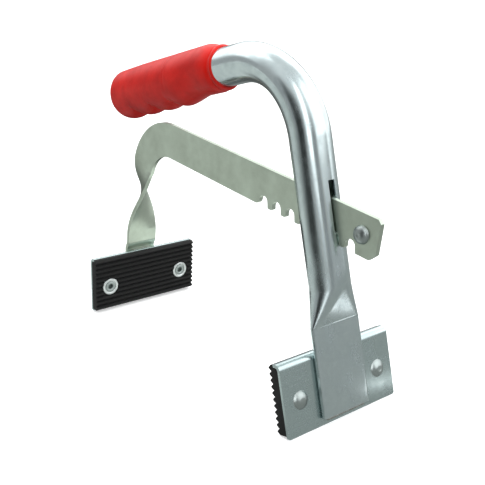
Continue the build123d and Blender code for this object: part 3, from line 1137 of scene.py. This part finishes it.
# ---- the bar
@dataclass
class NotchedBar:
    """The flat bar with its arm, and the stop rivet at its tip."""

    edge: float = 0.3

    def build(self) -> None:
        """Makes the bar and the rivet."""
        bar = Shapes.softened("notched_bar", self.edge, 2)
        Piece("bar", Body.BAR, Slot.BAR, ("notched_bar",)).add_flat(bar)
        low, high = (Vector(corner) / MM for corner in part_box("stop_rivet"))
        centre = (low + high) / 2
        outline = self.rivet_outline(-low.y, high.y, (high.x - low.x) / 2)
        bm = Shapes.spun(outline)
        bm.transform(Matrix.Rotation(-pi / 2, 4, "Z"))
        bm.transform(Matrix.Translation((centre.x, 0, centre.z)))
        bm.transform(Matrix.Scale(MM, 4))
        Piece("stop_rivet_turned", Body.BAR, Slot.RIVET, ("stop_rivet",)).add(bm)

    def rivet_outline(self, near: float, far: float, radius: float) -> list[Pair]:
        """Outline of the stop rivet: a dimpled dome on one side, a smaller one on the other.

        Args:
            near: reach of the larger head.
            far: reach of the smaller head.
            radius: radius of the larger head.

        Returns:
            The outline.
        """
        half = 1.5
        tail = 0.82 * radius
        outline = [(near - 0.45, 0.0)]
        for step in range(1, 13):
            share = step / 12
            dimple = 0.45 * max(0, 1 - share * 3.4)
            outline.append((half + (near - half) * sqrt(1 - share ** 2) - dimple, radius * share))
        outline += [(half, radius * 0.97), (half, 3.0), (-half, 3.0), (-half, tail * 0.97)]
        for step in range(11, -1, -1):
            share = step / 12
            outline.append((-half - (far - half) * sqrt(1 - share ** 2), tail * share))
        return outline


# ---- studio
@dataclass(frozen=True)
class Panel:
    """A bright screen or a dark flag far off, in degrees.

    Attributes:
        heading: its middle, 0 along +X.
        half: half of its width.
        side_fade: width of its soft sides.
        low: its lower edge above the horizon.
        high: its upper edge.
        fade: width of its soft lower and upper edges.
        light: light that it adds, negative for a flag.
    """

    heading: float
    half: float
    side_fade: float
    low: float
    high: float
    fade: float
    light: float


@dataclass
class Studio:
    """Floor, lights and camera, in metres and degrees, and the lens in millimetres.

    Attributes:
        wall: light of the room's walls.
        ceiling: light from above.
        darkest: least light from any direction.
        backdrop: light that only the camera sees, so that the room looks white.
        ground: light of the ground sheet; the fades are the headings where its parts change.
        ground_gap: radius of the hole in it.
        ground_middle: middle of that hole.
    """

    focal: float = 56.05
    sensor: float = 36.0
    eye: Triple = (0.3818, -0.3015, 0.2392)
    heading: float = 140.53
    pitch: float = 18.29
    roll: float = 1.38
    wall: float = 0.5
    ceiling: float = 1.0
    panels: tuple[Panel, ...] = (
        Panel(-90.0, 12.0, 10.0, -30.0, 45.0, 15.0, -0.48),
        Panel(-49.0, 8.0, 4.0, 5.5, 70.0, 5.0, 2.5),
        Panel(-27.0, 8.0, 6.0, -20.0, 40.0, 10.0, -0.16),
        Panel(22.0, 30.0, 8.0, 11.5, 75.0, 6.0, 1.5),
        Panel(84.0, 28.0, 8.0, 1.0, 60.0, 6.0, 1.3),
        Panel(165.0, 50.0, 15.0, 15.0, 70.0, 8.0, 1.5),
        Panel(168.0, 24.0, 8.0, -30.0, 17.0, 6.0, -0.4),
    )
    darkest: float = 0.03
    backdrop: float = 2.0
    ground: float = 0.78
    ground_gap: float = 0.02
    ground_middle: Pair = (0.165, 0.085)
    left_fade: Pair = (-132.0, -97.0)
    right_fade: Pair = (-78.0, -62.0)
    behind_fade: Pair = (130.0, 150.0)
    beside_fade: Pair = (-172.0, -158.0)
    near_fade: Pair = (-85.0, -65.0)

    def camera(self) -> None:
        """Places the camera."""
        data = bpy.data.cameras.new("camera")
        data.lens = self.focal
        data.sensor_width = self.sensor
        data.clip_start = 0.01
        camera = bpy.data.objects.new("camera", data)
        yaw, pitch, roll = radians(self.heading), radians(self.pitch), radians(self.roll)
        ahead = Vector((cos(yaw) * cos(pitch), sin(yaw) * cos(pitch), -sin(pitch)))
        right = Vector((sin(yaw), -cos(yaw), 0))
        down = ahead.cross(right)
        leaned_right = right * cos(roll) - down * sin(roll)
        leaned_down = right * sin(roll) + down * cos(roll)
        turn = Matrix((leaned_right, -leaned_down, -ahead)).transposed().to_4x4()
        camera.matrix_world = Matrix.Translation(self.eye) @ turn
        bpy.context.scene.collection.objects.link(camera)
        bpy.context.scene.camera = camera

    def floor(self) -> None:
        """Makes a wide pale floor."""
        bm = bmesh.new()
        bmesh.ops.create_grid(bm, x_segments=1, y_segments=1, size=STUDIO_REACH)
        bmesh.ops.translate(bm, verts=bm.verts, vec=(0, 0, -0.0002))
        floor = as_object("floor", bm, StudioPaper().make())
        floor.visible_diffuse = False

    def sheet_edge(self, radius: float, share: float) -> Ring:
        """Ring of the ground sheet.

        Args:
            radius: radius of the ring, in metres.
            share: how far its middle is moved towards that of the hole, from 0 to 1.

        Returns:
            The ring.
        """
        x, y = (part * share for part in self.ground_middle)
        return lambda angle: Vector((x + radius * cos(angle), y + radius * sin(angle), 0.0004))

    def ground_sheet(self) -> None:
        """Lays a grey sheet round the clamp that only shows in what the metal mirrors."""
        rings = [self.sheet_edge(self.ground_gap, 1.0), self.sheet_edge(STUDIO_REACH, 0.0)]
        g = Graph("ground_sheet")
        g.set(Base_Color=(0, 0, 0, 1), Roughness=1.0, Specular_IOR_Level=0.0)
        split = g.tree.nodes.new("ShaderNodeSeparateXYZ")
        g.link(g.place(Pattern.OBJECT, (1, 1, 1)), split.inputs[0])
        x, y = split.outputs[0], split.outputs[1]
        heading = g.math("ARCTAN2", y, x)
        squares = g.math("ADD", g.math("POWER", x, 2.0), g.math("POWER", y, 2.0))
        reach = g.math("SQRT", squares, 0.0)

        def over(fade: Pair, at_first: float, at_last: float) -> object:
            """Ramp between two headings, in degrees."""
            return g.span(heading, radians(fade[0]), radians(fade[1]), at_first, at_last)

        left = over(self.left_fade, self.ground, 0.05)
        right = over(self.right_fade, 0.0, 0.4)
        behind = over(self.behind_fade, 0.0, 0.33)
        beside = over(self.beside_fade, 0.2, 1.0)
        middle = g.span(reach, 0.24, 0.36, self.ground, 0.0)
        near = g.math("MULTIPLY", middle, over(self.near_fade, 1.0, 0.0))
        near = g.math("MAXIMUM", near, g.span(reach, 0.08, 0.12, 1.1, 0.0))
        left = g.math("MAXIMUM", g.math("MULTIPLY", left, beside), near)
        light = g.math("SUBTRACT", g.math("ADD", left, right), behind)
        g.set(Emission_Color=(0.95, 1.0, 0.97, 1), Emission_Strength=light)
        bm = Shapes.rings(rings, SHEET_SIDES, (False, False))
        sheet = as_object("ground_sheet", bm, g.material)
        sheet.visible_camera = sheet.visible_diffuse = sheet.visible_shadow = False

    def light(
        self, name: str, spot: Triple, aim: Triple,
        size: Pair, power: float,
    ) -> None:
        """Adds a soft rectangular light.

        Args:
            name: name of the light.
            spot: where it hangs.
            aim: what it points at.
            size: its two sides.
            power: its power in watts.
        """
        data = bpy.data.lights.new(name, "AREA")
        data.shape = "RECTANGLE"
        data.size, data.size_y = size
        data.energy = power
        lamp = bpy.data.objects.new(name, data)
        lamp.visible_glossy = False
        away = (Vector(spot) - Vector(aim)).normalized()
        lamp.matrix_world = Matrix.Translation(spot) @ away.to_track_quat("Z", "Y").to_matrix().to_4x4()
        bpy.context.scene.collection.objects.link(lamp)

    def world(self) -> None:
        """Lights the room by direction: walls, a brighter ceiling, the screens and the flags."""
        world = bpy.data.worlds.new("room")
        world.use_nodes = True
        n = Nodes(world.node_tree)
        split = n.tree.nodes.new("ShaderNodeSeparateXYZ")
        n.link(n.tree.nodes.new("ShaderNodeTexCoord").outputs["Generated"], split.inputs[0])

        def ramp(value: object, low: float, high: float, at_low: float, at_high: float) -> object:
            """Smooth ramp between two angles in degrees."""
            return n.span(value, radians(low), radians(high), at_low, at_high, "SMOOTHSTEP")

        heading = n.math("ARCTAN2", split.outputs[1], split.outputs[0])
        rise = n.math("ARCSINE", split.outputs[2], 0.0)
        level = ramp(rise, 15, 60, self.wall, self.ceiling)
        for panel in self.panels:
            turned = n.math("WRAP", n.math("SUBTRACT", heading, radians(panel.heading)), pi)
            turned.node.inputs[2].default_value = -pi
            away = n.math("ABSOLUTE", turned, 0.0)
            share = ramp(away, panel.half, panel.half + panel.side_fade, 1.0, 0.0)
            above = ramp(rise, panel.low, panel.low + panel.fade, 0.0, 1.0)
            below = ramp(rise, panel.high - panel.fade, panel.high, 1.0, 0.0)
            share = n.math("MULTIPLY", share, n.math("MULTIPLY", above, below))
            level = n.math("ADD", level, n.math("MULTIPLY", share, panel.light))
        level = n.math("MAXIMUM", level, self.darkest)
        seen = n.tree.nodes.new("ShaderNodeLightPath").outputs["Is Camera Ray"]
        level = n.math("ADD", level, n.math("MULTIPLY", seen, self.backdrop))
        background = n.tree.nodes["Background"]
        n.link(level, background.inputs[1])
        background.inputs[0].default_value = (0.97, 0.99, 1.0, 1)
        bpy.context.scene.world = world

    def build(self) -> None:
        """Sets everything up."""
        bpy.context.scene.view_settings.view_transform = "Standard"
        self.camera()
        self.floor()
        self.ground_sheet()
        self.world()
        middle = (0.0, 0.0, 0.1)
        self.light("top", spot=(-0.1, 0.1, 1.5), aim=middle, size=(1.2, 1.2), power=5.0)
        self.light("key", spot=(0.95, -0.75, 0.85), aim=middle, size=(0.28, 1.1), power=2.0)


# ---- the clamp
def jaw_place(mount_name: str) -> Place:
    """Frame of a jaw, from the mount on its middle rib.

    Args:
        mount_name: name of the mount.

    Returns:
        The jaw's frame: X 0 on the plate's outer face, Z 0 on its lower edge.
    """
    mount = next(item for item in frame["record"]["mounts"] if item["name"] == mount_name)
    outward = -Vector(mount["axis"])
    place = Place(Vector(mount["pos_m"]), outward)
    shift = place.matrix() @ Vector((RIB_CREST, 0, -RIB_LEVEL))
    return Place(shift, outward)


def build_clamp() -> None:
    """Builds every piece of the clamp."""
    Finishes.build()
    front_place = jaw_place("front_pad_face")
    rear_place = jaw_place("rear_pad_face")
    stem_place = Place(front_place.matrix() @ Vector((2.0, 0, 0)), front_place.outward)
    tube = BentTube(stem_place)
    tube.build()
    Grip(tube).build()
    NotchedBar().build()
    front = Jaw("front", front_place, Body.HANDLE, -1)
    rear = Jaw("rear", rear_place, Body.BAR, 1)
    for jaw in (front, rear):
        jaw.clothe()
        jaw.fasten()
    beads = [
        Bead("front_lower_weld", front, Vector((0.6, -16.5, 4.0)), Vector((0.6, 16.5, 4.0)), tilt=-45),
    ]
    for node, jaw, half in (("front_upper_weld", front, 16.5), ("rear_upper_weld", rear, 9.5)):
        low, high = Vector((-1.0, -half, 42.4)), Vector((-1.0, half, 42.4))
        beads.append(Bead(node, jaw, low, high, (1.5, 1.0), 45))
    for side_name, side in (("left", rear.left), ("right", -rear.left)):
        low, high = Vector((0.5, side * 13.0, 7.5)), Vector((0.5, side * 13.0, 37.0))
        beads.append(Bead(f"rear_{side_name}_weld", rear, low, high, (1.8, 1.3), 45 * side))
    for bead in beads:
        bead.build()


def main() -> None:
    """Builds the scene."""
    logging.basicConfig(level=logging.INFO, format="%(name)s %(message)s")
    build_clamp()
    Studio().build()


if __name__ == "__main__":
    main()
